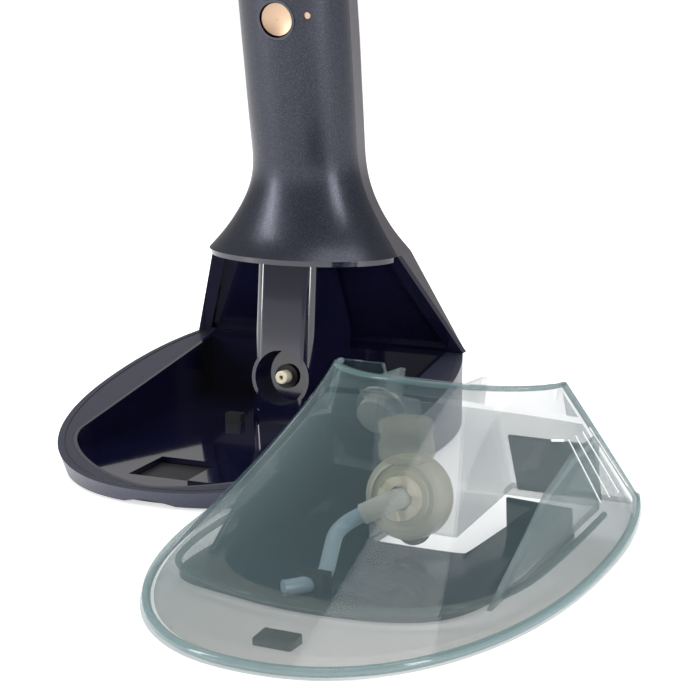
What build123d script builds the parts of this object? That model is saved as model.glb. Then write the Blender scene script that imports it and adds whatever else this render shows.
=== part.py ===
"""Hand-held garment steamer with a wide standing base and a lift-off water tank.

Millimetres. X is the steamer's right, -Y its front, Z up. The origin is the centre of the base's
underside, on the surface that it stands on. The tank is drawn in its seat and then set down beside the base.
"""

import math
import os

from build123d import *

os.makedirs("parts", exist_ok=True)

# ---- driving dimensions ------------------------------------------------------------------------
RIM_HALF = 70.0  # half the base's width at its rim
RIM_REACH = 104.8  # from the rim's centre to its front
RIM_POWER = 2.23  # squareness of the rim's oval
RIM_HEIGHT = 21.5  # rim above the table at its centre
RIM_SLOPE = 7.9  # the rim rises towards the back, degrees
RIM_CHORD = 57.6  # straight rear edge of the tank's rim, along the slope
BASE_REAR = 66.5  # rear of the base, along the slope
BASE_INSET = 1.2  # the base's foot is this much smaller than its rim
FOOT_SHIFT = 3.4
SHELL = 2.4  # wall of the outer casings

FLARE_HEIGHT = 72.0  # lower edge of the flared collar
FLARE_HALF = 41.1
FLARE_REACH = 26.4
FLARE_CENTRE = 33.6
FLARE_CHORD = 33.9

BAY_HALF = 52.0  # half width of the tank bay's opening
BAY_NOSE = 42.0  # length of the bay's rounded front
BAY_NOSE_POWER = 1.55
BAY_NOSE_START = -57.0
BAY_REAR = 52.0
BAY_FLOOR = 5.0
BAY_WALL = 1.6

COLUMN_HALF = 12.8
COLUMN_CORNER = 4.5
PORT_HEIGHT = 23.5  # water port's centre above the table
PORT_Y = 10.2
PORT_RADIUS = 11.1
COLUMN_LEAN = 5.7  # the column's face leans back, degrees
NOZZLE_RADIUS = 2.7

HANDLE_LEAN = 9.3
BUTTON_HEIGHT = 165.6
BUTTON_BORE = 6.9
POWER_HEIGHT = 188.0
POWER_BORE = 5.0
BUTTON_TRAVEL = 1.5

HEAD_HEIGHT = 247.0
HEAD_FACE_Y = -14.0
HEAD_HALF = 41.0
HEAD_TALL = 52.0
HEAD_POWER = 2.6
HEAD_DEPTH = 44.0

TANK_X = 107.2  # where the tank stands beside the base
TANK_Y = -124.6
TANK_RISE = 9.0
TANK_TURN = -3.1
TANK_PITCH = 4.8
TANK_SIDE = 2.6  # tank wall at its upright sides
TANK_FRONT = 4.4  # tank wall along Y on its sloping front
TANK_BACK = 2.2
NOTCH_GAP = 1.0
NOTCH_WALL = 2.0

# Height, half width, depth in front of the parting line, parting line Y, rear Y of the handle
HANDLE_STATIONS = [
    (72.0, 41.1, 26.4, 33.9, 51.3),
    (76.0, 37.9, 25.0, 35.6, 50.2),
    (80.0, 34.8, 23.7, 36.7, 49.3),
    (86.0, 30.8, 22.2, 37.8, 48.6),
    (94.0, 26.4, 20.5, 38.4, 48.6),
    (102.0, 23.6, 19.4, 38.2, 48.6),
    (110.0, 22.5, 19.1, 37.2, 48.0),
    (122.0, 22.5, 19.4, 35.1, 46.3),
    (136.0, 22.7, 19.5, 32.8, 44.0),
    (150.0, 22.8, 19.6, 30.5, 42.0),
    (165.0, 22.9, 19.7, 28.0, 39.6),
    (185.0, 23.4, 20.2, 24.7, 36.4),
    (212.0, 25.0, 21.4, 20.2, 32.0),
]

# ---- planes and shared outlines ----------------------------------------------------------------
slope = math.radians(RIM_SLOPE)
RIM_PLANE = Plane((0, 0, RIM_HEIGHT), x_dir=(1, 0, 0), z_dir=(0, -math.sin(slope), math.cos(slope)))
FLARE_PLANE = Plane.XY.offset(FLARE_HEIGHT)
TANK_POSE = Pos(TANK_X, TANK_Y, TANK_RISE) * Rot(0, 0, TANK_TURN) * Rot(TANK_PITCH, 0, 0)
TO_REST = TANK_POSE * RIM_PLANE.location.inverse()
STAND_PLANE = Plane(TO_REST.inverse())  # the table, seen from the seated tank

lean = math.radians(COLUMN_LEAN)
PORT_PLANE = Plane((0, PORT_Y, PORT_HEIGHT), x_dir=(1, 0, 0), z_dir=(0, -math.cos(lean), math.sin(lean)))

chord_low_y = RIM_CHORD * math.cos(slope)
chord_low_z = RIM_HEIGHT + RIM_CHORD * math.sin(slope)
flange_run = FLARE_CHORD - chord_low_y
flange_rise = FLARE_HEIGHT - chord_low_z
FLANGE_LENGTH = math.hypot(flange_run, flange_rise)
FLANGE_PLANE = Plane(
    (0, chord_low_y, chord_low_z),
    x_dir=(-1, 0, 0),
    z_dir=(0, flange_rise / FLANGE_LENGTH, -flange_run / FLANGE_LENGTH),
)
shoulder_half = RIM_HALF * (1 - (RIM_CHORD / RIM_REACH) ** RIM_POWER) ** (1 / RIM_POWER)

handle = math.radians(HANDLE_LEAN)
OUT_OF_HANDLE = (0, -math.cos(handle), -math.sin(handle))
HEAD_PLANE = Plane((0, HEAD_FACE_Y, HEAD_HEIGHT), x_dir=(1, 0, 0), z_dir=OUT_OF_HANDLE)


def column_face(height):
    """Y of the water column's front face at a height above the table."""
    return PORT_Y + (height - PORT_HEIGHT) * math.tan(lean)


def between(height, column):
    """A column of HANDLE_STATIONS at any height, by straight interpolation."""
    for low, high in zip(HANDLE_STATIONS, HANDLE_STATIONS[1:]):
        if low[0] <= height <= high[0]:
            share = (height - low[0]) / (high[0] - low[0])
            return low[column] + share * (high[column] - low[column])
    raise ValueError(height)


def front_arc(reach_x, reach_y, power, centre_y, chord_y, steps=14):
    """Points of an oval from the right end of its rear chord, round the front, to the left end."""
    rise = (chord_y - centre_y) / reach_y
    start = math.atan2(rise, (1 - abs(rise) ** power) ** (1 / power))
    points = []
    for step in range(steps + 1):
        turn = start - step * (math.pi + 2 * start) / steps
        size = (abs(math.cos(turn)) ** power + abs(math.sin(turn)) ** power) ** (-1 / power)
        points.append((reach_x * size * math.cos(turn), centre_y + reach_y * size * math.sin(turn)))
    return points


def chord_face(plane, points, corner=0.0):
    """Face inside an arc of points and its rear chord, with rounded rear corners."""
    with BuildSketch(plane) as sketch:
        with BuildLine():
            front = Spline(*points)
            Line(front @ 1, front @ 0)
        make_face()
        if corner:
            fillet(sketch.vertices(), radius=corner)
    return sketch.sketch.face()


def oval_face(plane, half_x, half_y, power):
    """Closed oval about a plane's origin."""
    points = []
    for step in range(24):
        turn = step * math.tau / 24
        size = (abs(math.cos(turn)) ** power + abs(math.sin(turn)) ** power) ** (-1 / power)
        points.append((half_x * size * math.cos(turn), half_y * size * math.sin(turn)))
    with BuildSketch(plane) as sketch:
        with BuildLine():
            Spline(*points, periodic=True)
        make_face()
    return sketch.sketch.face()


def bay_face(grow, rear):
    """Plan outline of the tank bay: straight sides and a rounded nose."""
    start = BAY_NOSE_START
    points = front_arc(BAY_HALF + grow, BAY_NOSE + grow, BAY_NOSE_POWER, start, start)
    with BuildSketch() as sketch:
        with BuildLine():
            nose = Spline(*points)
            Polyline(nose @ 1, (-BAY_HALF - grow, rear), (BAY_HALF + grow, rear), nose @ 0)
        make_face()
    return sketch.sketch.face()


def rim_face(side=0.0, front=0.0, chord=RIM_CHORD, lift=0.0, corner=0.0):
    """The base's oval rim, cut by a chord at the rear, drawn in by a wall."""
    points = front_arc(RIM_HALF - side, RIM_REACH - front, RIM_POWER, 0, chord)
    return chord_face(RIM_PLANE.offset(lift), points, corner)


def foot_face(inset, height, corner):
    """The base's outline where it meets the table."""
    reach = RIM_REACH * math.cos(slope)
    points = front_arc(RIM_HALF - inset, reach - inset, RIM_POWER, FOOT_SHIFT, BASE_REAR - inset + BASE_INSET)
    return chord_face(Plane.XY.offset(height), points, corner)


def flare_face(side=0.0, front=0.0, chord=FLARE_CHORD, lift=0.0):
    """The flared collar's oval, cut by a chord at the rear."""
    points = front_arc(FLARE_HALF - side, FLARE_REACH - front, 2.0, FLARE_CENTRE, chord)
    return chord_face(FLARE_PLANE.offset(lift), points)


def handle_front_face(station, inset, overlap):
    """Front half of the handle's section at one station."""
    height, half, depth, parting, _ = station
    points = front_arc(half - inset, depth - inset, 2.0, parting, parting + overlap)
    return chord_face(Plane.XY.offset(height), points)


def cover_face(height, half, parting, rear, inset, overlap, corner=3.2):
    """Rear part of the handle's section: a shallow cup with rounded rear corners."""
    with BuildSketch(Plane.XY.offset(height)) as sketch:
        with BuildLine():
            Polyline(
                (-half + inset, parting - overlap),
                (-half + inset, rear - inset),
                (half - inset, rear - inset),
                (half - inset, parting - overlap),
                close=True,
            )
        make_face()
        rear_corners = sketch.vertices().sort_by(Axis.Y)[-2:]
        fillet(rear_corners, radius=corner - inset)
    return sketch.sketch.face()


def slot_prism(half, low_front, high_front, low, high, rear):
    """Block for the column or its notch: a side profile drawn out to both sides."""
    with BuildPart() as prism:
        with BuildSketch(Plane.YZ):
            with BuildLine():
                Polyline((low_front, low), (high_front, high), (rear, high), (rear, low), close=True)
            make_face()
        extrude(amount=half, both=True)
    return prism.part


def save(part, name, place=None):
    """Labels a finished piece, sets it in place and writes it."""
    piece = part.moved(place) if place else part
    piece.label = name
    export_step(piece, f"parts/{name}.step")


# ---- base ---------------------------------------------------------------------------------------
FOOT_GAP = 0.8
base_foot = foot_face(BASE_INSET, FOOT_GAP, 7.0)
base_rim = rim_face(chord=BASE_REAR, corner=7.0)
inner_foot = foot_face(BASE_INSET + SHELL, -SHELL, 5.0)
inner_rim = rim_face(SHELL, SHELL, BASE_REAR - SHELL, -SHELL, 5.0)
bay_opening = bay_face(BAY_WALL + 0.1, chord_low_y + 0.1)

with BuildPart() as base_shell:
    loft(sections=[base_foot, base_rim], ruled=True)
    loft(sections=[inner_foot, inner_rim], ruled=True, mode=Mode.SUBTRACT)
    extrude(bay_opening, amount=60, mode=Mode.SUBTRACT)
    with Locations((0, BASE_REAR, 12)):
        Cylinder(5.5, 20, rotation=(90, 0, 0), mode=Mode.SUBTRACT)
save(base_shell.part, "base_shell")

PLATE_THICK = 1.8
SCREW_PLACES = [(-58, 20), (58, 20), (-44, 59), (44, 59)]
FOOT_PLACES = [(-40, -62), (40, -62), (0, 0), (-50, 48), (50, 48)]
plate_face = foot_face(BASE_INSET + SHELL + 0.3, FOOT_GAP, 4.0)
with BuildPart() as base_plate:
    extrude(plate_face, amount=PLATE_THICK)
    with Locations(*[(x, y, FOOT_GAP) for x, y in FOOT_PLACES]):
        Cylinder(6.0, 0.8, align=(Align.CENTER, Align.CENTER, Align.MIN), mode=Mode.SUBTRACT)
    with Locations(*[(x, y, FOOT_GAP) for x, y in SCREW_PLACES]):
        Cylinder(1.6, 6, mode=Mode.SUBTRACT)
save(base_plate.part, "base_plate")

with BuildPart() as rubber_feet:
    with Locations(*[(x, y, 0) for x, y in FOOT_PLACES]):
        Cylinder(5.9, FOOT_GAP + 0.7, align=(Align.CENTER, Align.CENTER, Align.MIN))
save(rubber_feet.part, "rubber_feet")

with BuildPart() as base_screws:
    for x, y in SCREW_PLACES:
        with Locations((x, y, FOOT_GAP + PLATE_THICK)):
            Cylinder(1.5, 9, align=(Align.CENTER, Align.CENTER, Align.MIN))
        with Locations((x, y, FOOT_GAP - 0.2)):
            Cylinder(1.5, PLATE_THICK + 0.2, align=(Align.CENTER, Align.CENTER, Align.MIN))
save(base_screws.part, "base_screws")

# ---- tank bay -----------------------------------------------------------------------------------
LATCH_LOW = (-19.0, -80.0)
LATCH_HIGH = (5.0, -54.0)
bay_outer = bay_face(BAY_WALL, chord_low_y)
bay_inner = bay_face(0, BAY_REAR)
with BuildPart() as tank_bay:
    extrude(Plane.XY.offset(BAY_FLOOR - 2.0) * bay_outer, amount=40)
    extrude(Plane.XY.offset(BAY_FLOOR) * bay_inner, amount=50, mode=Mode.SUBTRACT)
    split(bisect_by=RIM_PLANE, keep=Keep.BOTTOM)
    with Locations(((LATCH_LOW[0] + LATCH_HIGH[0]) / 2, (LATCH_LOW[1] + LATCH_HIGH[1]) / 2, BAY_FLOOR)):
        Box(LATCH_HIGH[0] - LATCH_LOW[0], LATCH_HIGH[1] - LATCH_LOW[1], 6, mode=Mode.SUBTRACT)
    with Locations((18, -72, BAY_FLOOR)):
        Box(22, 22, 1.2, align=(Align.CENTER, Align.CENTER, Align.MIN))
    with Locations((0, 34, BAY_FLOOR)):
        Cylinder(6, 6, mode=Mode.SUBTRACT)
save(tank_bay.part, "tank_bay")

FLANGE_THICK = 2.6
with BuildPart() as bay_back:
    with BuildSketch(FLANGE_PLANE):
        with BuildLine():
            Polyline(
                (-shoulder_half - 2.6, -6),
                (shoulder_half + 2.6, -6),
                (shoulder_half, 0),
                (FLARE_HALF, FLANGE_LENGTH),
                (-FLARE_HALF, FLANGE_LENGTH),
                (-shoulder_half, 0),
                close=True,
            )
        make_face()
    extrude(amount=FLANGE_THICK)
    with BuildSketch(FLANGE_PLANE):
        with BuildLine():
            Polyline(
                (-shoulder_half + 6.5, 2),
                (shoulder_half - 6.5, 2),
                (FLARE_HALF - 4.5, FLANGE_LENGTH - 4),
                (-FLARE_HALF + 4.5, FLANGE_LENGTH - 4),
                close=True,
            )
        make_face()
    extrude(amount=1.8, mode=Mode.SUBTRACT)
    split(bisect_by=RIM_PLANE, keep=Keep.TOP)
    split(bisect_by=Plane.XY.offset(FLARE_HEIGHT - 0.1), keep=Keep.BOTTOM)
    with Locations((0, 44, 55)):
        Box(16, 34, 42, mode=Mode.SUBTRACT)
save(bay_back.part, "bay_back")

TRIM_TALL = 2.2
with BuildPart() as flare_trim:
    extrude(flare_face(0.9, 0.9, FLARE_CHORD - 0.2, -TRIM_TALL), amount=TRIM_TALL - 0.1)
    with Locations((0, 32, FLARE_HEIGHT)):
        Box(12, 18, 20, mode=Mode.SUBTRACT)
save(flare_trim.part, "flare_trim")

column_top = FLARE_HEIGHT - TRIM_TALL
with BuildPart() as water_column:
    add(slot_prism(COLUMN_HALF, column_face(BAY_FLOOR), column_face(column_top), BAY_FLOOR, column_top, 60))
    upright = water_column.edges().filter_by(lambda e: abs(e.tangent_at(0.5).Z) > 0.9).sort_by(Axis.Y)[:2]
    fillet(upright, radius=COLUMN_CORNER)
    add(
        slot_prism(
            COLUMN_HALF - 2,
            column_face(BAY_FLOOR) + 2.2,
            column_face(column_top) + 2.2,
            BAY_FLOOR - 1,
            column_top + 1,
            70,
        ),
        mode=Mode.SUBTRACT,
    )
    with BuildSketch(PORT_PLANE.offset(-9.0)):
        Circle(PORT_RADIUS + 1.5)
    extrude(amount=8.8)
    with BuildSketch(PORT_PLANE.offset(-7.6)):
        Circle(PORT_RADIUS)
    extrude(amount=20, mode=Mode.SUBTRACT)
    with BuildSketch(PORT_PLANE.offset(-12)):
        Circle(NOZZLE_RADIUS + 0.02)
    extrude(amount=8, mode=Mode.SUBTRACT)
    split(bisect_by=FLANGE_PLANE, keep=Keep.BOTTOM)
    split(bisect_by=Plane.XZ.offset(-BAY_REAR), keep=Keep.TOP)
    split(bisect_by=Plane.XY.offset(BAY_FLOOR), keep=Keep.TOP)
save(water_column.part, "water_column")

with BuildPart() as water_nozzle:
    with BuildSketch(PORT_PLANE.offset(-20)):
        Circle(NOZZLE_RADIUS)
    extrude(amount=19)
    fillet(water_nozzle.edges().group_by(Axis.Y)[0], radius=0.6)
    with BuildSketch(PORT_PLANE.offset(-21)):
        Circle(0.9)
    extrude(amount=25, mode=Mode.SUBTRACT)
save(water_nozzle.part, "water_nozzle")

with BuildPart() as nozzle_seal:
    with BuildSketch(PORT_PLANE.offset(-7.5)):
        Circle(NOZZLE_RADIUS + 2.2)
        Circle(NOZZLE_RADIUS + 0.02, mode=Mode.SUBTRACT)
    extrude(amount=1.4)
save(nozzle_seal.part, "nozzle_seal")

with BuildPart() as tank_stop:
    with Locations((-16.8, 3.0, BAY_FLOOR)):
        Box(7, 5, 4, align=(Align.CENTER, Align.CENTER, Align.MIN))
    fillet(tank_stop.edges().filter_by(Axis.Z), radius=0.8)
save(tank_stop.part, "tank_stop")

# ---- handle -------------------------------------------------------------------------------------
BUTTON_PLANE = Plane(
    (0, between(BUTTON_HEIGHT, 3) - between(BUTTON_HEIGHT, 2), BUTTON_HEIGHT),
    x_dir=(1, 0, 0),
    z_dir=OUT_OF_HANDLE,
)
POWER_PLANE = Plane(
    (0, between(POWER_HEIGHT, 3) - between(POWER_HEIGHT, 2), POWER_HEIGHT),
    x_dir=(1, 0, 0),
    z_dir=OUT_OF_HANDLE,
)
LAMP_X = 12.5
LAMP_RADIUS = 1.3
head_outline = oval_face(HEAD_PLANE, HEAD_HALF, HEAD_TALL, HEAD_POWER)
head_middle = oval_face(HEAD_PLANE.offset(-0.62 * HEAD_DEPTH), HEAD_HALF - 1.5, HEAD_TALL - 2, HEAD_POWER)
head_back = oval_face(HEAD_PLANE.offset(-HEAD_DEPTH), HEAD_HALF - 12, HEAD_TALL - 15, HEAD_POWER)
with BuildPart() as head_envelope:
    loft(sections=[head_outline, head_middle, head_back], ruled=True)
    rear_face = head_envelope.faces().sort_by(Axis(HEAD_PLANE.origin, HEAD_PLANE.z_dir))[0]
    fillet(rear_face.edges(), radius=6)

front_sections = [handle_front_face(station, 0, 0) for station in HANDLE_STATIONS]
front_hollow = [handle_front_face(station, SHELL, 1.0) for station in HANDLE_STATIONS]
with BuildPart() as handle_shell:
    loft(sections=front_sections)
    loft(sections=front_hollow, mode=Mode.SUBTRACT)
    add(head_envelope.part, mode=Mode.SUBTRACT)
    with BuildSketch(BUTTON_PLANE.offset(-12)):
        Circle(BUTTON_BORE + 1.02)
    extrude(amount=16, mode=Mode.SUBTRACT)
    with BuildSketch(POWER_PLANE.offset(-12)):
        Circle(POWER_BORE + 0.82)
    extrude(amount=16, mode=Mode.SUBTRACT)
    with BuildSketch(BUTTON_PLANE.offset(-12)):
        with Locations((LAMP_X, 1.5)):
            Circle(LAMP_RADIUS)
    extrude(amount=16, mode=Mode.SUBTRACT)
save(handle_shell.part, "handle_shell")

low_stations = [
    (22.0, shoulder_half + 3.2, chord_low_y + 4.05, BASE_REAR + 1.0, 5.8),
    (FLARE_HEIGHT, FLARE_HALF, FLARE_CHORD, HANDLE_STATIONS[0][4], 3.2),
]
low_cover = [cover_face(z, half, split_y + 0.1, rear, 0, 0, r) for z, half, split_y, rear, r in low_stations]
low_hollow = [cover_face(z, half, split_y, rear, SHELL, 3, r) for z, half, split_y, rear, r in low_stations]
high_cover = [cover_face(z, half, parting + 0.1, rear, 0, 0) for z, half, _, parting, rear in HANDLE_STATIONS]
high_hollow = [cover_face(z, half, parting, rear, SHELL, 3) for z, half, _, parting, rear in HANDLE_STATIONS]
with BuildPart() as back_cover:
    loft(sections=low_cover, ruled=True)
    loft(sections=high_cover)
    loft(sections=low_hollow, ruled=True, mode=Mode.SUBTRACT)
    loft(sections=high_hollow, mode=Mode.SUBTRACT)
    add(head_envelope.part, mode=Mode.SUBTRACT)
    add(bay_back.part, mode=Mode.SUBTRACT)
    split(bisect_by=RIM_PLANE, keep=Keep.TOP)
save(back_cover.part, "back_cover")


def bezel(plane, bore, wall, depth):
    """Ring that lines a button's bore, flush with the handle."""
    with BuildPart() as ring:
        with BuildSketch(plane.offset(-depth)):
            Circle(bore + wall)
            Circle(bore, mode=Mode.SUBTRACT)
        extrude(amount=depth - 0.3)
    return ring.part


def button(plane, radius, sink, thick, stem, dish):
    """Dished button disc with its guide stem."""
    with BuildPart() as disc:
        with BuildSketch(plane.offset(-sink - thick)):
            Circle(radius)
        extrude(amount=thick)
        with BuildSketch(plane.offset(-sink - thick - stem)):
            Circle(1.8)
        extrude(amount=stem)
        ball = radius**2 / (2 * dish) + dish / 2
        with Locations(plane.offset(ball - dish - sink)):
            Sphere(ball, mode=Mode.SUBTRACT)
    return disc.part


def spring(plane, inner, wire, depth, length):
    """Return spring round a button's stem, drawn as a plain sleeve at its pressed length."""
    with BuildPart() as sleeve:
        with BuildSketch(plane.offset(-depth - length)):
            Circle(inner + wire)
            Circle(inner, mode=Mode.SUBTRACT)
        extrude(amount=length)
    return sleeve.part


SINK = 1.6
save(bezel(BUTTON_PLANE, BUTTON_BORE, 1.0, 4.5), "button_bezel")
save(button(BUTTON_PLANE, BUTTON_BORE - 0.5, SINK, 2.4, 3.0, 0.9), "steam_button")
save(spring(BUTTON_PLANE, 2.3, 0.5, SINK + 4.2, 2.8), "button_spring")
save(bezel(POWER_PLANE, POWER_BORE, 0.8, 4.0), "power_bezel")
save(button(POWER_PLANE, POWER_BORE - 0.4, 0.8, 2.4, 3.0, 0.4), "power_button")
save(spring(POWER_PLANE, 2.3, 0.5, 0.8 + 4.2, 2.8), "power_spring")

with BuildPart() as status_lamp:
    with BuildSketch(BUTTON_PLANE.offset(-7)):
        with Locations((LAMP_X, 1.5)):
            Circle(LAMP_RADIUS - 0.02)
    extrude(amount=4.1)
save(status_lamp.part, "status_lamp")

with BuildPart() as switch_block:
    for plane, front in ((BUTTON_PLANE, SINK + 7.2), (POWER_PLANE, 0.8 + 7.2)):
        with BuildSketch(plane.offset(-front - 4)):
            Rectangle(11, 7)
        extrude(amount=4)
save(switch_block.part, "switches")

with BuildPart() as circuit_board:
    with BuildSketch(BUTTON_PLANE.offset(-SINK - 11.4 - 1.6)):
        with Locations((0, 10)):
            Rectangle(24, 36)
    extrude(amount=1.5)
save(circuit_board.part, "circuit_board")

# ---- pump and water way -------------------------------------------------------------------------
PUMP_BOTTOM = (0, 35.5, 88.0)
PUMP_PLANE = Plane(PUMP_BOTTOM, x_dir=(1, 0, 0), z_dir=(0, -math.sin(handle), math.cos(handle)))
with BuildPart() as pump:
    with BuildSketch(PUMP_PLANE):
        Circle(5.0)
    extrude(amount=44)
    with BuildSketch(PUMP_PLANE.offset(8)):
        Circle(7.5)
    extrude(amount=26)
    with BuildSketch(PUMP_PLANE.offset(-4)):
        Circle(2.2)
    extrude(amount=52)
save(pump.part, "pump")

with BuildPart() as pump_bracket:
    with BuildSketch(PUMP_PLANE.offset(35)):
        Rectangle(27, 12.4)
        Circle(5.2, mode=Mode.SUBTRACT)
    extrude(amount=2)
save(pump_bracket.part, "pump_bracket")


def tube(points, radii, radius):
    """Hose along straight runs joined by arcs."""
    with BuildPart() as hose:
        with BuildLine() as route:
            FilletPolyline(*points, radius=radii)
        with BuildSketch(Plane(origin=route.line @ 0, z_dir=route.line % 0)):
            Circle(radius)
        sweep()
    return hose.part


nozzle_end = PORT_PLANE.offset(-20).origin
inlet_route = [
    tuple(nozzle_end),
    tuple(PORT_PLANE.offset(-30).origin),
    (0, 33.0, 60),
    tuple(PUMP_PLANE.offset(-10).origin),
    tuple(PUMP_PLANE.offset(-4.05).origin),
]
save(tube(inlet_route, [5.0, 12.0, 8.0], 2.2), "inlet_tube")

pump_top = PUMP_PLANE.offset(48).origin
outlet_route = [
    tuple(pump_top),
    tuple(PUMP_PLANE.offset(56).origin),
    (-16.5, 24.0, 158.0),
    (-16.5, 16.5, 205.0),
    (-7.0, 12.5, 227.0),
]
save(tube(outlet_route, [5.0, 8.0, 12.0], 1.8), "outlet_tube")

# ---- steam head ---------------------------------------------------------------------------------
FACE_SINK = 1.0
with BuildPart() as head_shell:
    add(head_envelope.part)
    cavity = oval_face(HEAD_PLANE, HEAD_HALF - 3, HEAD_TALL - 3, HEAD_POWER)
    cavity_mid = oval_face(
        HEAD_PLANE.offset(-0.62 * HEAD_DEPTH), HEAD_HALF - 4.5, HEAD_TALL - 5, HEAD_POWER
    )
    cavity_back = oval_face(HEAD_PLANE.offset(3 - HEAD_DEPTH), HEAD_HALF - 15, HEAD_TALL - 18, HEAD_POWER)
    loft(sections=[cavity, cavity_mid, cavity_back], ruled=True, mode=Mode.SUBTRACT)
    with BuildSketch(PUMP_PLANE.offset(95)):
        Rectangle(40, 16)
    extrude(amount=50, mode=Mode.SUBTRACT)
save(head_shell.part, "head_shell")


def oval_ring(front, back, outer, inner):
    """Flat oval ring between two depths, measured in from the head's outline."""
    with BuildPart() as ring:
        extrude(oval_face(HEAD_PLANE.offset(-back), HEAD_HALF - outer, HEAD_TALL - outer, HEAD_POWER), amount=back - front)
        if inner:
            hole = oval_face(HEAD_PLANE.offset(-back - 1), HEAD_HALF - inner, HEAD_TALL - inner, HEAD_POWER)
            extrude(hole, amount=back - front + 2, mode=Mode.SUBTRACT)
    return ring.part


save(oval_ring(-0.8, 5.0, 3.4, 5.2), "head_ring")
save(oval_ring(0.6, 6.0, 5.25, 6.8), "head_seal")
STEAM_HOLES = [(0, 30)] + [(sign * x, y) for sign in (-1, 1) for x, y in ((11, 27), (20, 19), (25, 8), (25, -4))]
STEAM_HOLES += [(0, 12), (-12, 6), (12, 6), (-8, -10), (8, -10)]
with BuildPart() as soleplate:
    add(oval_ring(-0.2, 3.0, 6.85, 0))
    with Locations(*[HEAD_PLANE * Pos(x, y, 0) for x, y in STEAM_HOLES]):
        Cylinder(1.5, 12, mode=Mode.SUBTRACT)
save(soleplate.part, "soleplate")

with BuildPart() as steam_chamber:
    add(oval_ring(3.05, 15.0, 9.0, 0))
    add(oval_ring(3.0, 7.0, 12.0, 0), mode=Mode.SUBTRACT)
save(steam_chamber.part, "steam_chamber")

with BuildPart() as heating_element:
    with BuildLine() as loop:
        FilletPolyline(
            HEAD_PLANE.from_local_coords((-18, -34, -18)),
            HEAD_PLANE.from_local_coords((-18, 28, -18)),
            HEAD_PLANE.from_local_coords((18, 28, -18)),
            HEAD_PLANE.from_local_coords((18, -34, -18)),
            radius=14,
        )
    with BuildSketch(Plane(origin=loop.line @ 0, z_dir=loop.line % 0)):
        Circle(2.9)
    sweep()
save(heating_element.part, "heating_element")

with BuildPart() as thermostat:
    with BuildSketch(HEAD_PLANE.offset(-22)):
        with Locations((0, 6)):
            Circle(7.5)
    extrude(amount=6.95)
save(thermostat.part, "thermostat")

with BuildPart() as thermal_fuse:
    with BuildSketch(HEAD_PLANE.offset(-19)):
        with Locations((0, -14)):
            Rectangle(9, 20)
    extrude(amount=3.95)
save(thermal_fuse.part, "thermal_fuse")

with BuildPart() as cord_gland:
    with Locations((0, BASE_REAR - 0.8, 12)):
        Cylinder(5.4, 9, rotation=(90, 0, 0))
        Cylinder(3.5, 30, rotation=(90, 0, 0), mode=Mode.SUBTRACT)
save(cord_gland.part, "cord_gland")

# ---- tank, drawn in its seat and set down beside the base ----------------------------------------
TOP_RECESS = 4.5
TOP_THICK = 2.0
TOP_SLOPE = 14.0
notch_low = 8.0
notch_high = FLARE_HEIGHT + 6
tank_outer = [rim_face(), flare_face(lift=-0.3)]
tank_inner = [
    rim_face(TANK_SIDE, TANK_FRONT, RIM_CHORD - TANK_BACK),
    flare_face(TANK_SIDE, TANK_FRONT, FLARE_CHORD - TANK_BACK, -0.3),
]


def notch(extra):
    """The channel that the water column stands in, with a gap or a wall round it."""
    return slot_prism(
        COLUMN_HALF + extra,
        column_face(notch_low) - extra,
        column_face(notch_high) - extra,
        notch_low,
        notch_high,
        90,
    )


notch_space = notch(NOTCH_GAP)
notch_block = notch(NOTCH_GAP + NOTCH_WALL)
top = math.radians(TOP_SLOPE)
TOP_PLANE = Plane((0, 7, FLARE_HEIGHT - TOP_RECESS), x_dir=(1, 0, 0), z_dir=(0, math.sin(top), math.cos(top)))
with BuildPart() as tank_hollow:
    loft(sections=tank_inner, ruled=True)
    add(notch_block, mode=Mode.SUBTRACT)
with BuildPart() as tank_lid:
    add(tank_hollow.part)
    split(bisect_by=TOP_PLANE, keep=Keep.BOTTOM)
    split(bisect_by=TOP_PLANE.offset(-TOP_THICK), keep=Keep.TOP)

PORT_BORE = 3.4
PLUG_RADIUS = 7.0
PLUG_PLACE = (30.0, 27.0)
with BuildPart() as tank_shell:
    loft(sections=tank_outer, ruled=True)
    add(notch_space, mode=Mode.SUBTRACT)
    add(tank_hollow.part, mode=Mode.SUBTRACT)
    with BuildSketch(TOP_PLANE):
        with Locations((8, 60)):
            Rectangle(64, 80)
    extrude(amount=30, mode=Mode.SUBTRACT)
    add(tank_lid.part)
    with BuildSketch(PORT_PLANE.offset(-2)):
        Circle(PORT_BORE + 2.6)
    extrude(amount=12, mode=Mode.SUBTRACT)
    with BuildSketch(FLANGE_PLANE.offset(-6)):
        with Locations(PLUG_PLACE):
            Circle(PLUG_RADIUS)
    extrude(amount=12, mode=Mode.SUBTRACT)
save(tank_shell.part, "tank_shell", TO_REST)

WELL_FRONT = -57.0
WELL_HALF = 49.0
WELL_REAR = 47.0
WEB_LOW = 0.6
WEB_THICK = 1.8


def well_face(lift, grow):
    """Plan outline of the tank's sunk well, parallel to the table when the tank stands on it."""
    points = front_arc(WELL_HALF + grow, 42 + grow, 2.4, WELL_FRONT + 42, WELL_FRONT + 42)
    with BuildSketch(STAND_PLANE.offset(lift)) as sketch:
        with Locations(Location((TANK_X, TANK_Y, 0), (0, 0, TANK_TURN))):
            with BuildLine(mode=Mode.PRIVATE) as edge:
                nose = Spline(*points)
                Polyline(nose @ 1, (-WELL_HALF - grow, WELL_REAR + grow), (WELL_HALF + grow, WELL_REAR + grow), nose @ 0)
            add(make_face(edge.edges(), mode=Mode.PRIVATE))
    return sketch.sketch.face()


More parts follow.
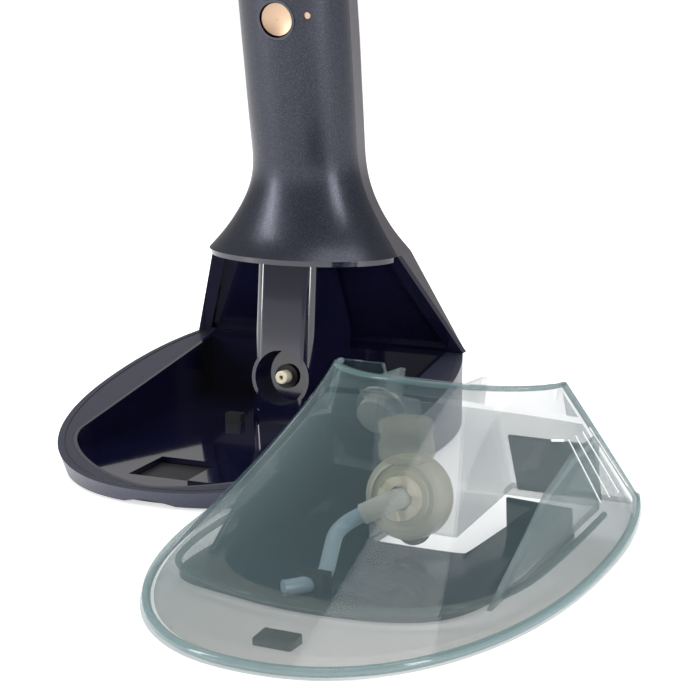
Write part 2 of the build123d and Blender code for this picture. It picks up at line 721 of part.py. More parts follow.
with BuildPart() as tank_web:
    add(tank_hollow.part)
    split(bisect_by=RIM_PLANE.offset(WEB_LOW), keep=Keep.TOP)
    split(bisect_by=RIM_PLANE.offset(WEB_LOW + WEB_THICK), keep=Keep.BOTTOM)
    extrude(well_face(-20, 0.1), amount=60, mode=Mode.SUBTRACT)
save(tank_web.part, "tank_web", TO_REST)

WELL_WALL = 1.8
with BuildPart() as tank_well:
    extrude(well_face(0.3, 0), amount=40)
    extrude(well_face(0.3 + WELL_WALL, -WELL_WALL), amount=60, mode=Mode.SUBTRACT)
    split(bisect_by=RIM_PLANE.offset(WEB_LOW + WEB_THICK), keep=Keep.BOTTOM)
    add(notch(NOTCH_GAP + NOTCH_WALL + 0.1), mode=Mode.SUBTRACT)
save(tank_well.part, "tank_well", TO_REST)

# ---- tank valve ---------------------------------------------------------------------------------
DRUM_RADIUS = 14.0
DRUM_DEPTH = 10.0
DRUM_LIFT = 10.6
wall_face = NOTCH_GAP + NOTCH_WALL
DRUM_PLANE = Plane(PORT_PLANE.offset(wall_face).location * Pos(0, DRUM_LIFT, 0))
with BuildPart() as valve_drum:
    with BuildSketch(DRUM_PLANE.offset(0.05)):
        Circle(DRUM_RADIUS)
    extrude(amount=DRUM_DEPTH)
    fillet(valve_drum.edges().group_by(Axis.Y)[0], radius=3.0)
    with BuildSketch(PORT_PLANE.offset(-1)):
        Circle(PORT_BORE + 2.5)
    extrude(amount=wall_face + 7, mode=Mode.SUBTRACT)
save(valve_drum.part, "valve_drum", TO_REST)

with BuildPart() as valve_plunger:
    with BuildSketch(PORT_PLANE.offset(wall_face - 1.5)):
        Circle(PORT_BORE)
    extrude(amount=3.0)
save(valve_plunger.part, "valve_plunger", TO_REST)

with BuildPart() as valve_seal:
    with BuildSketch(PORT_PLANE.offset(NOTCH_GAP)):
        Circle(PORT_BORE + 2.5)
        Circle(PORT_BORE + 0.06, mode=Mode.SUBTRACT)
    extrude(amount=2.2)
save(valve_seal.part, "valve_seal", TO_REST)

with BuildPart() as valve_spring:
    with BuildSketch(PORT_PLANE.offset(wall_face + 3.8)):
        Circle(PORT_BORE - 0.4)
        Circle(PORT_BORE - 1.1, mode=Mode.SUBTRACT)
    extrude(amount=2.0)
save(valve_spring.part, "valve_spring", TO_REST)

RING_OUTER = 7.2
RING_INNER = 4.2
drum_front = DRUM_PLANE.offset(DRUM_DEPTH + 0.05)
with BuildPart() as valve_collar:
    with BuildSketch(drum_front):
        Circle(RING_OUTER)
        Circle(RING_INNER, mode=Mode.SUBTRACT)
    extrude(amount=3.0)
    with BuildSketch(drum_front.offset(1.5)):
        with PolarLocations(RING_OUTER - 1, 5):
            Rectangle(5.2, 3.2)
    extrude(amount=3, mode=Mode.SUBTRACT)
save(valve_collar.part, "valve_collar", TO_REST)

ELBOW_RADIUS = 3.4
HOSE_RADIUS = 2.6
elbow_bend = drum_front.offset(6.5).origin
elbow_end = elbow_bend + Vector(-9.0, -3.5, -5.0)
with BuildPart() as hose_elbow:
    with BuildLine() as bend:
        FilletPolyline(tuple(drum_front.offset(0.05).origin), tuple(elbow_bend), tuple(elbow_end), radius=3.5)
    with BuildSketch(Plane(origin=bend.line @ 0, z_dir=bend.line % 0)):
        Circle(ELBOW_RADIUS)
    sweep()
save(hose_elbow.part, "hose_elbow", TO_REST)

FROM_REST = TO_REST.inverse()


def beside(x, y, z):
    """A point given on the table, X and Y along the standing tank from its centre, in the seated frame."""
    turned = Pos(TANK_X, TANK_Y, 0) * Rot(0, 0, TANK_TURN) * Pos(x, y, z)
    return tuple((FROM_REST * turned).position)


elbow_way = (elbow_end - elbow_bend).normalized()
hose_route = [
    tuple(elbow_end),
    tuple(elbow_end + elbow_way * 9),
    beside(-13.0, -26.0, 9.5),
    beside(-9.5, -36.0, 6.2),
    beside(-10.5, -44.0, 5.6),
    beside(-16.5, -50.5, 5.5),
]
hose_bends = [9.0, 8.0, 9.0, 8.0]
save(tube(hose_route, hose_bends, HOSE_RADIUS), "suction_hose", TO_REST)

with BuildPart() as hose_clip:
    with Locations(Location(beside(-10.4, -42.0, 5.9))):
        Box(9, 6, 6.6)
    add(tube(hose_route, hose_bends, HOSE_RADIUS + 0.05), mode=Mode.SUBTRACT)
save(hose_clip.part, "hose_clip", TO_REST)

with BuildPart() as latch_tab:
    with Locations(RIM_PLANE * Location((-3.5, -78, WEB_LOW - 0.05))):
        Box(18, 12, 4, align=(Align.CENTER, Align.CENTER, Align.MAX))
save(latch_tab.part, "latch_tab", TO_REST)

with BuildPart() as filler_plug:
    with BuildSketch(FLANGE_PLANE.offset(-4.5)):
        with Locations(PLUG_PLACE):
            Circle(PLUG_RADIUS - 0.05)
    extrude(amount=5.0)
    with BuildSketch(FLANGE_PLANE.offset(0.4)):
        with Locations(PLUG_PLACE):
            Circle(PLUG_RADIUS + 2)
    extrude(amount=1.2)
save(filler_plug.part, "filler_plug", TO_REST)

for name, plane in (
    ("steam button", BUTTON_PLANE),
    ("valve", Plane(TO_REST * PORT_PLANE.location)),
    ("filler plug", Plane(TO_REST * FLANGE_PLANE.location)),
):
    print(name, "axis", [round(v, 5) for v in plane.z_dir], "origin", [round(v, 2) for v in plane.origin])
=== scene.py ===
"""Looks for the garment steamer: studio, finishes and the pieces modelled over the fixed frame."""

import math

import bpy
from mathutils import Matrix, Vector


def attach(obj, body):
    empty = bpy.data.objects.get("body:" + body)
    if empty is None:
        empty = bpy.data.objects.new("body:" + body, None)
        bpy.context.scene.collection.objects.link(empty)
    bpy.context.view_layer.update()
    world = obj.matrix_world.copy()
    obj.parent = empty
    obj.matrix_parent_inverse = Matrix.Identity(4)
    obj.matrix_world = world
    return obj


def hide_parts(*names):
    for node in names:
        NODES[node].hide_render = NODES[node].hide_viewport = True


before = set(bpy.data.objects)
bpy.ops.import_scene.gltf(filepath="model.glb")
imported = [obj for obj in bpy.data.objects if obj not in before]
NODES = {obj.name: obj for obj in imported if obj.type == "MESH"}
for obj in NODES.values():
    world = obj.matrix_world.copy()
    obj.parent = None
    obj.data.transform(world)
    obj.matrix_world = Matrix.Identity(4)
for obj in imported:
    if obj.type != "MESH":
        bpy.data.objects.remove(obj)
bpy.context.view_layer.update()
MM = 0.001
SMOOTH_ANGLE = math.radians(40)  # faces that meet at less are shaded as one surface


# ---- shader maths ---------------------------------------------------------------------------------
class Value:
    """A shader socket that can be used in arithmetic."""

    def __init__(self, finish, socket):
        self.finish = finish
        self.socket = socket

    def maths(self, operation, *others, flip=False):
        inputs = [self, *others]
        if flip:
            inputs.reverse()
        return self.finish.node("ShaderNodeMath", {"operation": operation}, inputs)

    def __add__(self, other):
        return self.maths("ADD", other)

    __radd__ = __add__

    def __sub__(self, other):
        return self.maths("SUBTRACT", other)

    def __rsub__(self, other):
        return self.maths("SUBTRACT", other, flip=True)

    def __mul__(self, other):
        return self.maths("MULTIPLY", other)

    __rmul__ = __mul__

    def clamp(self):
        return self.finish.node("ShaderNodeClamp", {}, [self, 0.0, 1.0])

    def power(self, other):
        return self.maths("POWER", other)


class Finish:
    """One material and the nodes that feed its Principled shader."""

    def __init__(self, name, colour, roughness, metallic=0.0, **fixed):
        self.material = bpy.data.materials.new(name)
        self.material.use_nodes = True
        self.tree = self.material.node_tree
        self.shader = self.tree.nodes["Principled BSDF"]
        self.colour = (*colour, 1.0)
        self.set("Base Color", self.colour)
        self.set("Roughness", roughness)
        self.set("Metallic", metallic)
        for socket, value in fixed.items():
            self.set(socket.replace("_", " "), value)
        self.here = self.node("ShaderNodeTexCoord", {}, [], "Object")

    def set(self, socket, value):
        target = self.shader.inputs[socket]
        if isinstance(value, Value):
            self.tree.links.new(value.socket, target)
        else:
            target.default_value = value

    def node(self, kind, settings, inputs, output=0):
        """A node of this kind, with its settings made first and its sockets filled by place or by name."""
        made = self.tree.nodes.new(kind)
        for key, value in settings.items():
            setattr(made, key, value)
        pairs = inputs.items() if isinstance(inputs, dict) else enumerate(inputs)
        for socket, value in pairs:
            if isinstance(value, Value):
                self.tree.links.new(value.socket, made.inputs[socket])
            else:
                made.inputs[socket].default_value = value
        return Value(self, made.outputs[output])

    def noise(self, scale, detail=2.0, stretch=(1, 1, 1)):
        where = self.node("ShaderNodeMapping", {}, {"Vector": self.here, "Scale": stretch})
        sockets = {"Vector": where, "Scale": scale, "Detail": detail}
        return self.node("ShaderNodeTexNoise", {"noise_dimensions": "3D"}, sockets)

    def ramp(self, value, low, high):
        """0 below low, 1 above high, straight between."""
        return ((value - low) * (1.0 / (high - low))).clamp()

    def mix(self, share, one, two):
        made = self.tree.nodes.new("ShaderNodeMix")
        made.data_type = "RGBA"
        for socket, value in ((0, share), (6, one), (7, two)):
            if isinstance(value, Value):
                self.tree.links.new(value.socket, made.inputs[socket])
            else:
                made.inputs[socket].default_value = value if socket == 0 else (*value[:3], 1.0)
        return Value(self, made.outputs[2])

    def bump(self, height, strength, distance=0.0002):
        normal = self.node(
            "ShaderNodeBump", {}, {"Strength": strength, "Distance": distance, "Height": height}, "Normal"
        )
        self.set("Normal", normal)

    def mottle(self, scale, other, amount):
        """Lets the colour drift between the finish's own and another."""
        share = self.ramp(self.noise(scale, 3.0), 0.35, 0.65) * amount
        self.set("Base Color", self.mix(share, self.colour, other))

    def scuff(self, scale, low, high):
        """Lets the roughness drift between two values."""
        self.set("Roughness", low + self.noise(scale, 4.0) * (high - low))


# ---- finishes -------------------------------------------------------------------------------------
def pearl(name, colour, fleck, roughness, metallic, coat):
    """Satin lacquer with fine metal flakes."""
    finish = Finish(name, colour, roughness, metallic, Coat_Weight=coat, Coat_Roughness=0.25)
    flake = finish.noise(4200, 1.0)
    glint = finish.ramp(flake, 0.54, 0.72)
    finish.set("Base Color", finish.mix(glint * 0.35, finish.colour, fleck))
    finish.set("Roughness", roughness - glint * 0.08 + finish.noise(60, 3.0) * 0.04)
    finish.bump(flake, 0.08, 0.00004)
    return finish.material


def gloss(name, colour, other, roughness):
    """Polished moulding with the faint waviness of a real one."""
    finish = Finish(name, colour, roughness, 0.0, Coat_Weight=0.6, Coat_Roughness=0.03)
    finish.mottle(30, other, 0.6)
    finish.scuff(45, roughness, roughness + 0.06)
    finish.bump(finish.noise(38, 1.0), 0.05, 0.0006)
    return finish.material


def moulded(name, colour, other, roughness, grain=900):
    """Matt moulding with spark-eroded grain."""
    finish = Finish(name, colour, roughness)
    finish.mottle(70, other, 0.6)
    finish.scuff(150, roughness - 0.05, roughness + 0.08)
    finish.bump(finish.noise(grain, 2.0), 0.25, 0.00008)
    return finish.material


def metal(name, colour, other, roughness, brush=(1, 1, 30)):
    """Brushed or cast metal."""
    finish = Finish(name, colour, roughness, 1.0)
    lines = finish.noise(220, 3.0, brush)
    finish.set("Base Color", finish.mix(lines * 0.5, finish.colour, other))
    finish.set("Roughness", roughness + lines * 0.15)
    finish.bump(lines, 0.1, 0.00005)
    return finish.material


def see_through(name, colour, edge, clear, thick, roughness, haze=0.0):
    """Clear moulding: faint face on, tinted and denser where it is seen at a slant."""
    finish = Finish(name, colour, roughness, 0.0, Specular_IOR_Level=0.6)
    slant = finish.node("ShaderNodeLayerWeight", {}, {"Blend": 0.35}, "Facing")
    cloud = finish.noise(26, 2.0) * haze
    finish.set("Base Color", finish.mix(slant, colour, edge))
    finish.set("Alpha", (clear + slant.power(1.6) * (thick - clear) + cloud).clamp())
    return finish.material


NAVY = pearl("navy_pearl", (0.014, 0.016, 0.028), (0.20, 0.21, 0.27), 0.33, 0.6, 0.2)
SLATE = pearl("slate_pearl", (0.030, 0.033, 0.058), (0.16, 0.17, 0.24), 0.40, 0.5, 0.15)
TAUPE = pearl("taupe_pearl", (0.075, 0.068, 0.078), (0.17, 0.16, 0.17), 0.42, 0.35, 0.2)
INK = gloss("ink_gloss", (0.004, 0.004, 0.016), (0.008, 0.008, 0.030), 0.05)
BLACK = moulded("black_moulding", (0.010, 0.010, 0.013), (0.018, 0.018, 0.022), 0.45)
RUBBER = moulded("black_rubber", (0.012, 0.012, 0.012), (0.022, 0.022, 0.022), 0.7, 500)
IVORY = moulded("ivory_moulding", (0.68, 0.62, 0.47), (0.74, 0.69, 0.55), 0.38, 700)
GOLD = metal("rose_gold", (0.46, 0.32, 0.22), (0.56, 0.41, 0.30), 0.34)
STEEL = metal("zinc_steel", (0.52, 0.52, 0.54), (0.62, 0.62, 0.63), 0.28)
CAST = metal("cast_alloy", (0.42, 0.42, 0.43), (0.52, 0.52, 0.52), 0.5, (1, 1, 1))
SOLE = metal("sole_alloy", (0.58, 0.58, 0.60), (0.66, 0.66, 0.67), 0.24, (1, 30, 1))
BOARD = moulded("board_green", (0.012, 0.11, 0.04), (0.02, 0.16, 0.06), 0.35)
PUMP = moulded("pump_grey", (0.07, 0.07, 0.08), (0.10, 0.10, 0.11), 0.5)
CLEAR = see_through("clear_tank", (0.060, 0.082, 0.090), (0.12, 0.21, 0.225), 0.18, 0.62, 0.05, 0.03)
WEB = see_through("clear_web", (0.24, 0.20, 0.14), (0.16, 0.20, 0.19), 0.22, 0.50, 0.10, 0.03)
# Dark tint for the well, its walls and the latch hook; on the left inner wall and the left back band it is
# painted shade.
DARK_AND_SHADE = see_through("dark_tint_and_painted_shade", (0.008, 0.020, 0.032), (0.018, 0.040, 0.054), 0.94, 0.98, 0.12, 0.02)
EDGE = see_through("thick_edge", (0.10, 0.19, 0.20), (0.20, 0.31, 0.32), 0.50, 0.80, 0.08, 0.03)
# Painted light: the right inner wall is a lighter copy of the clear wall whose left twin is painted shade.
LIT_WALL = see_through("painted_light_wall", (0.34, 0.40, 0.39), (0.30, 0.40, 0.41), 0.42, 0.60, 0.15, 0.05)
# Painted shade on the right back band, lighter than the left one.
SHADE_BAND = see_through("painted_shade_band", (0.050, 0.075, 0.088), (0.070, 0.105, 0.120), 0.62, 0.80, 0.15, 0.05)
NECK = see_through("cream_neck", (0.50, 0.49, 0.38), (0.56, 0.56, 0.44), 0.22, 0.60, 0.25, 0.05)
MARK = moulded("white_mark", (0.78, 0.80, 0.78), (0.84, 0.85, 0.84), 0.5)
CREAM = see_through("cream_housing", (0.52, 0.51, 0.38), (0.62, 0.60, 0.46), 0.75, 0.9, 0.3)
FITTING = see_through("clear_fitting", (0.62, 0.64, 0.58), (0.85, 0.86, 0.82), 0.45, 0.85, 0.12)
HOSE = see_through("silicone_hose", (0.30, 0.43, 0.50), (0.45, 0.57, 0.62), 0.72, 0.9, 0.25)
PLUG = see_through("silicone_plug", (0.50, 0.52, 0.48), (0.60, 0.62, 0.58), 0.8, 0.95, 0.4)

WEARS = {
    NAVY: ["handle_shell", "power_button", "head_shell"],
    SLATE: ["base_shell"],
    TAUPE: ["back_cover"],
    INK: ["tank_bay", "bay_back", "flare_trim", "water_column", "button_bezel", "power_bezel"],
    BLACK: ["base_plate", "tank_stop", "switches", "pump_bracket", "hose_clip", "latch_tab"],
    RUBBER: ["rubber_feet", "nozzle_seal", "head_seal", "cord_gland", "valve_seal"],
    IVORY: ["water_nozzle", "thermal_fuse", "valve_plunger", "valve_collar"],
    GOLD: ["steam_button", "head_ring", "status_lamp"],
    STEEL: ["base_screws", "button_spring", "power_spring", "heating_element", "valve_spring"],
    CAST: ["steam_chamber", "thermostat"],
    SOLE: ["soleplate"],
    BOARD: ["circuit_board"],
    PUMP: ["pump"],
    CLEAR: ["tank_shell"],
    WEB: ["tank_web"],
    DARK_AND_SHADE: ["tank_well"],
    CREAM: ["valve_drum"],
    FITTING: ["hose_elbow"],
    HOSE: ["inlet_tube", "outlet_tube", "suction_hose"],
    PLUG: ["filler_plug"],
}
for finish, names in WEARS.items():
    for name in names:
        for holder in NODES[name].material_slots:
            holder.material = finish


# ---- modelling tools ------------------------------------------------------------------------------
def start_fresh():
    bpy.ops.object.select_all(action="DESELECT")


def settle(name, body, finish, node_names=(), bevel=0.0):
    """Names the active object, bevels it, fixes its origin and gives it to its body."""
    piece = bpy.context.object
    piece.name = name
    if bevel:
        rounding = piece.modifiers.new("round", "BEVEL")
        rounding.width = bevel
        rounding.segments = 3
        rounding.limit_method = "ANGLE"
        rounding.angle_limit = math.radians(30)
        bpy.ops.object.modifier_apply(modifier="round")
    bpy.ops.object.transform_apply(location=True, rotation=True, scale=True)
    bpy.ops.object.shade_smooth_by_angle(angle=SMOOTH_ANGLE)
    piece.data.materials.clear()
    piece.data.materials.append(finish)
    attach(piece, body)
    if node_names:
        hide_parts(*node_names)
    return piece


def close_ends():
    """Closes what is open on the mesh in edit mode, turns its faces outwards and leaves edit mode."""
    bpy.ops.mesh.select_all(action="DESELECT")
    bpy.ops.mesh.select_non_manifold()
    bpy.ops.mesh.edge_face_add()
    bpy.ops.mesh.select_all(action="SELECT")
    bpy.ops.mesh.normals_make_consistent(inside=False)
    bpy.ops.object.mode_set(mode="OBJECT")


def turned(rings, sides=72):
    """A turned solid about Z: each ring is (radius, height), from the foot up, and both ends are closed."""
    start_fresh()
    radius, height = rings[0]
    foot = (0, 0, height)
    bpy.ops.mesh.primitive_circle_add(vertices=sides, radius=radius, fill_type="NGON", location=foot)
    bpy.ops.object.mode_set(mode="EDIT")
    bpy.ops.mesh.select_all(action="SELECT")
    for next_radius, next_height in rings[1:]:
        bpy.ops.mesh.extrude_region_move(TRANSFORM_OT_translate={"value": (0, 0, next_height - height)})
        grow = next_radius / radius
        bpy.ops.transform.resize(value=(grow, grow, 1), center_override=(0, 0, next_height))
        radius, height = next_radius, next_height
    close_ends()


def stand(place, direction, up=(0, 0, 1)):
    """Moves the active object so that its Z points along a direction from a place."""
    z_axis = Vector(direction).normalized()
    x_axis = Vector(up).cross(z_axis).normalized()
    y_axis = z_axis.cross(x_axis)
    turn = Matrix((x_axis, y_axis, z_axis)).transposed().to_4x4()
    bpy.context.object.matrix_world = Matrix.Translation(Vector(place)) @ turn
    bpy.context.view_layer.update()


def strip(start, end, normal, width, height):
    """A thin raised line between two points of a surface."""
    start_fresh()
    first, last = Vector(start), Vector(end)
    bpy.ops.mesh.primitive_cube_add(size=1)
    along = (last - first).normalized()
    out = Vector(normal).normalized()
    side = out.cross(along).normalized()
    turn = Matrix((along, side, along.cross(side))).transposed().to_4x4()
    sizes = Matrix.Diagonal(((last - first).length, width, height, 1))
    bpy.context.object.matrix_world = Matrix.Translation((first + last) / 2) @ turn @ sizes
    bpy.context.view_layer.update()


def round_line(name, route, radius, roundness, smoothness):
    """A round line on a smooth curve through its route's control points, made a mesh."""
    start_fresh()
    line = bpy.data.curves.new(name, "CURVE")
    line.dimensions = "3D"
    line.bevel_depth = radius
    line.bevel_resolution = roundness
    line.resolution_u = smoothness
    line.use_fill_caps = True
    spline = line.splines.new("NURBS")
    spline.points.add(len(route) - 1)
    for point, place in zip(spline.points, route):
        point.co = (*place, 1)
    spline.order_u = 3
    spline.use_endpoint_u = True
    drawn = bpy.data.objects.new(name, line)
    bpy.context.scene.collection.objects.link(drawn)
    drawn.select_set(True)
    bpy.context.view_layer.objects.active = drawn
    bpy.ops.object.convert(target="MESH")


def edge_bead(name, route, radius, body, finish):
    """A rounded bead along an edge."""
    round_line(name, route, radius, 4, 6)
    return settle(name, body, finish)


def slab(name, outline, thick, body, finish, node_names=(), bevel=0.0006):
    """A plate whose lower face has this outline, thickened upward and rounded."""
    start_fresh()
    bpy.ops.mesh.primitive_circle_add(vertices=len(outline), radius=0.01, fill_type="NGON")
    plate = bpy.context.object
    for vertex, place in zip(plate.data.vertices, outline):
        vertex.co = place
    bpy.ops.object.mode_set(mode="EDIT")
    bpy.ops.mesh.select_all(action="SELECT")
    bpy.ops.mesh.extrude_region_move(TRANSFORM_OT_translate={"value": thick})
    close_ends()
    return settle(name, body, finish, node_names, bevel)


def smooth_ring(corners, steps):
    """Rounds a ring of corners: each corner becomes a short arc between the middles of its two sides."""
    ring = []
    for place, corner in enumerate(corners):
        before, after = Vector(corners[place - 1]), Vector(corners[(place + 1) % len(corners)])
        corner = Vector(corner)
        start, end = corner.lerp(before, 0.5), corner.lerp(after, 0.5)
        for step in range(steps):
            share = step / steps
            ring.append(start.lerp(corner, share).lerp(corner.lerp(end, share), share))
    return ring


# ---- the standing tank's frame ------------------------------------------------------------------------
TANK_HOME = Vector((0.1072, -0.1246, 0.0090))  # its rim's centre
TANK_SWING = Matrix.Rotation(math.radians(-3.1), 4, "Z")
TANK_TURN = TANK_SWING @ Matrix.Rotation(math.radians(4.8), 4, "X")  # it leans on the table


def on_tank(x, y, z):
    """A point of the tank, in millimetres from its rim's centre, as a place in the scene."""
    return TANK_HOME + TANK_TURN @ (Vector((x, y, z)) * MM)


def tank_way(x, y, z):
    """A direction of the tank, as a direction in the scene."""
    return TANK_TURN @ Vector((x, y, z))


def on_table(x, y, z):
    """A point over the table, in millimetres along the standing tank, as a place in the scene."""
    return Vector((TANK_HOME.x, TANK_HOME.y, 0)) + TANK_SWING @ (Vector((x, y, z)) * MM)


# ---- the base's sloping rim, and the tank in its seat on it -------------------------------------------
RIM_SLOPE = math.radians(7.9)
RIM_CENTRE = Vector((0, 0, 21.5))
RIM_POWER = 2.23


def on_rim(x, along, above):
    """A point by the base's sloping rim, in millimetres along and above the slope from its centre."""
    rise = Vector((0, -math.sin(RIM_SLOPE), math.cos(RIM_SLOPE)))
    forward = Vector((0, math.cos(RIM_SLOPE), math.sin(RIM_SLOPE)))
    return (RIM_CENTRE + Vector((x, 0, 0)) + forward * along + rise * above) * MM


def seat_way(direction):
    """A direction of the tank in its seat, as the standing tank turns it."""
    return TANK_TURN @ Matrix.Rotation(-RIM_SLOPE, 4, "X") @ direction


def from_seat(place):
    """A point of the tank in its seat, in millimetres, as a place in the scene."""
    return TANK_HOME + seat_way(place - RIM_CENTRE) * MM


def rim_line(half, reach, rear, steps):
    """Points round the rim's oval from its right rear end to its left rear end."""
    points = []
    start = math.asin(rear / reach)
    for step in range(steps + 1):
        turn = start - step * (math.pi + 2 * start) / steps
        size = (abs(math.cos(turn)) ** RIM_POWER + abs(math.sin(turn)) ** RIM_POWER) ** (-1 / RIM_POWER)
        points.append((half * size * math.cos(turn), reach * size * math.sin(turn)))
    return points


# ---- the tank's valve and hose ------------------------------------------------------------------------
PORT_LEAN = math.radians(5.7)  # the water port leans back with the column's face
PORT = Vector((0, 10.2, 23.5))  # its centre, with the tank in its seat
PORT_OUT = Vector((0, -math.cos(PORT_LEAN), math.sin(PORT_LEAN)))
PORT_UP = Vector((0, math.sin(PORT_LEAN), math.cos(PORT_LEAN)))
DRUM_LIFT = PORT_UP * 10.6
ELBOW_ARM = Vector((-9.0, -3.5, -5.0))
DRUM_OUT = 3.05  # the drum starts this far in front of the port
ELBOW_OUT = 19.55  # the elbow turns this far in front of the port
HOSE_START = 9.0  # how far the hose runs on in the elbow's direction
VALVE_OUT = seat_way(PORT_OUT)

turned([
    (0.0132, 0.0002), (0.0140, 0.0009), (0.0140, 0.0066), (0.0136, 0.0084), (0.0125, 0.0096),
    (0.0110, 0.0100), (0.0106, 0.0093), (0.0092, 0.0093), (0.0088, 0.0099), (0.0070, 0.0100),
])
stand(from_seat(PORT + PORT_OUT * DRUM_OUT + DRUM_LIFT), VALVE_OUT)
drum = bpy.context.object
start_fresh()
bpy.ops.mesh.primitive_cylinder_add(vertices=48, radius=0.0059, depth=0.012)
stand(from_seat(PORT) + VALVE_OUT * 0.003, VALVE_OUT)
port_cutter = bpy.context.object
start_fresh()
drum.select_set(True)
bpy.context.view_layer.objects.active = drum
port = drum.modifiers.new("port", "BOOLEAN")
port.operation = "DIFFERENCE"
port.solver = "EXACT"
port.object = port_cutter
bpy.ops.object.modifier_apply(modifier="port")
bpy.data.objects.remove(port_cutter)
settle("drum_housing", "tank", CREAM, ["valve_drum"])

elbow_end = PORT + PORT_OUT * ELBOW_OUT + DRUM_LIFT + ELBOW_ARM
hose_route = [
    from_seat(elbow_end),
    from_seat(elbow_end + ELBOW_ARM.normalized() * HOSE_START),
    on_table(-13.0, -26.0, 9.5),
    on_table(-9.5, -36.0, 6.2),
    on_table(-10.5, -44.0, 5.6),
    on_table(-16.5, -50.5, 5.5),
]
round_line("suction_line", hose_route, 0.0026, 8, 16)
settle("suction_line", "tank", HOSE, ["suction_hose"])

# ---- marks on the tank ----------------------------------------------------------------------------------
strip(on_tank(44.8, 16.6, 33.5), on_tank(47.1, 21.2, 32.2), tank_way(0.74, -0.18, 0.65), 0.0007, 0.0004)
settle("level_line", "tank", MARK, bevel=0.0001)

# Upper and lower end of each rib on the tank's right side, from the front rib back.
SIDE_RIBS = [
    ((47.8, 23.8, 31.8), (60.3, 18.7, 14.0)),
    ((48.5, 28.4, 31.7), (60.7, 26.1, 13.1)),
    ((48.9, 33.7, 31.4), (60.6, 35.1, 11.6)),
    ((48.9, 40.4, 30.6), (59.3, 47.8, 9.0)),
]
for count, (top, foot) in enumerate(SIDE_RIBS):
    strip(on_tank(*top), on_tank(*foot), tank_way(0.84, 0.02, 0.54), 0.0004, 0.0003)
    settle(f"side_rib_{count + 1}", "tank", MARK, bevel=0.0001)


# ---- the tank's well, walls and edges -------------------------------------------------------------------
WELL_DEPTH = 8.7
WELL_SLOPE = 0.0839  # the well's floor is level while the tank's rim leans


def floor_height(along):
    """Height of the well's floor from the tank's rim, at a place along the rim."""
    return -WELL_DEPTH - WELL_SLOPE * along


WELL_CORNERS = [
    (-58, 47), (-58, 46), (-61, 20), (-62, -10), (-61, -38), (-56, -47), (-34, -52), (-16, -56),
    (10, -55), (30, -48), (39, -33), (42, 0), (42, 46), (41, 47),
    (18, 47), (17.5, 46), (17.0, 12), (16, 10), (-16, 10), (-17.0, 12), (-17.5, 46), (-18, 47),
]
well_ring = smooth_ring([on_tank(x, y, floor_height(y)) for x, y in WELL_CORNERS], 4)
slab("dark_well", well_ring, (0, 0, 0.0030), "tank", DARK_AND_SHADE, ["tank_well"])

# The top corners of each wall that rises from the well's floor, and the way it is thickened.
WELL_WALLS = {
    "well_back_left": ((-50, 46, 4.5), (-17.5, 46, 2.5), (0, -0.0012, 0)),
    "well_back_right": ((17.5, 46, 0.5), (41, 46, -0.5), (0, -0.0012, 0)),
    "well_notch_side": ((-17.5, 46, 2.5), (-17.5, 11, 1.5), (-0.0012, 0, 0)),
}
for name, (start, end, thick) in WELL_WALLS.items():
    feet = [(x, y, floor_height(y) + 1) for x, y, top in (start, end)]
    corners = [feet[0], start, end, feet[1]]
    slab(name, [on_tank(*corner) for corner in corners], tank_way(*thick), "tank", DARK_AND_SHADE, bevel=0.0003)

LIP_POINTS = [
    (-58, 20), (-62, -8), (-61, -38), (-54, -50), (-34, -57), (-16, -61),
    (10, -60), (34, -52), (50, -32), (54, 0), (54, 40),
]
edge_bead("well_lip", [on_tank(x, y, 1.2) for x, y in LIP_POINTS], 0.0011, "tank", EDGE)

# The tank's inner side walls, from their rear foot over the top and down to the front; the right one is
# painted light and the left one painted shade.
RIGHT_WALL = [(50, 47, 0), (50, 47, 26), (50, 25, 27), (50, 0, 22), (50, -20, 13), (49, -38, 3), (48, -42, 0)]
LEFT_WALL = [
    (-50, 47, -8), (-50, 47, 26), (-50, 25, 27), (-50, 0, 22), (-50, -20, 13), (-50, -38, 3), (-50, -42, -4),
]
for name, corners, inward, shade in (
    ("right_wall", RIGHT_WALL, tank_way(-0.0018, 0, 0), LIT_WALL),
    ("left_wall", LEFT_WALL, tank_way(0.0018, 0, 0), DARK_AND_SHADE),
):
    slab(name, [on_tank(*corner) for corner in corners], inward, "tank", shade, bevel=0.0003)

# The tank's lower back wall as two bands of painted shade, the left one darker.
for side, side_name, shade in ((-1, "left", DARK_AND_SHADE), (1, "right", SHADE_BAND)):
    back_band = [(18.5 * side, 54, 1), (48.5 * side, 54, 1), (48.5 * side, 45.8, 23), (18.5 * side, 45.8, 23)]
    slab(
        f"back_band_{side_name}", [on_tank(*corner) for corner in back_band], tank_way(0, -0.0011, -0.0004),
        "tank", shade, bevel=0.0003,
    )

turned([
    (0.0080, 0), (0.0090, 0.0008), (0.0090, 0.0050), (0.0084, 0.0056), (0.0084, 0.0096), (0.0090, 0.0102),
    (0.0088, 0.0118),
])
stand(on_tank(0, 5, 26), tank_way(0, 0, 1), tank_way(0, 1, 0))
settle("valve_neck", "tank", NECK)

tab = [(-9, -76, 0.3), (3.5, -76, 0.3), (3.5, -84, 0.3), (-9, -84, 0.3)]
tab_down = tank_way(0, 0, -0.0038)
slab("latch_hook", [on_tank(*corner) for corner in tab], tab_down, "tank", DARK_AND_SHADE, ["latch_tab"])

rim_ring = rim_line(68.4, 102.6, 57.2, 48)
edge_bead("rim_edge", [on_tank(x, y, 1.5) for x, y in rim_ring], 0.0015, "tank", EDGE)
for side, side_name in ((-1, "left"), (1, "right")):
    edge_bead(
        f"rear_edge_{side_name}",
        [on_tank(side * 60.0, 56.4, 1.2), on_tank(side * 50.4, 48.2, 23.0), on_tank(side * 40.4, 39.8, 44.6)],
        0.0011, "tank", EDGE,
    )

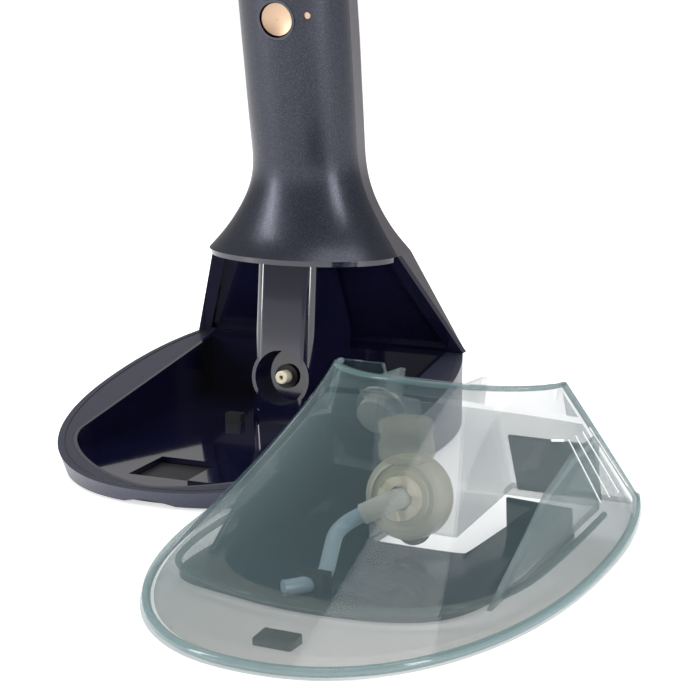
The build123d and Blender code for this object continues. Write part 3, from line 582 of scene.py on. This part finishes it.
TOP_HALF, TOP_REACH, TOP_MIDDLE = 40.1, 25.4, 33.6
TOP_SHIFT, TOP_HEIGHT = 6.9, 49.1
TOP_STEPS = 24
NOTCH_HALF, NOTCH_FRONT = 15.5, 20
top_edge = []
for step in range(TOP_STEPS + 1):
    turn = -math.pi * step / TOP_STEPS
    across, along = TOP_HALF * math.cos(turn), TOP_MIDDLE + TOP_REACH * math.sin(turn)
    if abs(across) > NOTCH_HALF or along < NOTCH_FRONT:
        height = TOP_HEIGHT - along * math.sin(RIM_SLOPE)
        top_edge.append(on_tank(across, along * math.cos(RIM_SLOPE) + TOP_SHIFT, height))
edge_bead("top_edge", top_edge, 0.0009, "tank", EDGE)

# ---- the base's shadow line -----------------------------------------------------------------------------
shadow = rim_line(67.6, 101.9, 55.0, 60)
edge_bead("shadow_line", [on_rim(x, along, -0.05) for x, along in shadow], 0.00028, "steamer", BLACK)

# ---- studio ---------------------------------------------------------------------------------------
bpy.ops.object.select_all(action="DESELECT")
bpy.ops.mesh.primitive_plane_add(size=12, location=(0, 0, -0.0002))
floor = bpy.context.object
floor.name = "floor"
pale = Finish("pale_floor", (0.93, 0.93, 0.93), 0.6, Emission_Color=(1, 1, 1, 1), Emission_Strength=0.62)
pale.mottle(3, (0.95, 0.95, 0.95), 0.5)
floor.data.materials.append(pale.material)

world = bpy.data.worlds.new("studio")
bpy.context.scene.world = world
world.use_nodes = True
world.node_tree.nodes["Background"].inputs["Color"].default_value = (1, 1, 1, 1)
world.node_tree.nodes["Background"].inputs["Strength"].default_value = 0.42


def soft_box(name, place, target, width, height, power):
    """Rectangular studio light aimed at a point."""
    bpy.ops.object.light_add(type="AREA", location=place)
    light = bpy.context.object
    light.name = name
    light.data.shape = "RECTANGLE"
    light.data.size = width
    light.data.size_y = height
    light.data.energy = power
    aim = Vector(target) - Vector(place)
    light.rotation_euler = aim.to_track_quat("-Z", "Y").to_euler()


soft_box("left_strip", (-0.93, -0.78, 0.45), (0, 0, 0.13), 0.22, 1.0, 11)
soft_box("right_strip", (1.02, -0.62, 0.45), (0, 0, 0.13), 0.22, 1.0, 9)
soft_box("top", (0.1, -0.1, 1.5), (0.05, -0.05, 0), 1.0, 1.0, 12)

camera_data = bpy.data.cameras.new("camera")
camera_data.lens = 101.4
camera_data.sensor_width = 36
camera = bpy.data.objects.new("camera", camera_data)
camera.location = (0.3314, -0.6881, 0.2030)
camera.rotation_euler = (math.radians(77.73), 0, math.radians(23.3))
bpy.context.scene.collection.objects.link(camera)
bpy.context.scene.camera = camera
bpy.context.scene.view_settings.view_transform = "Standard"
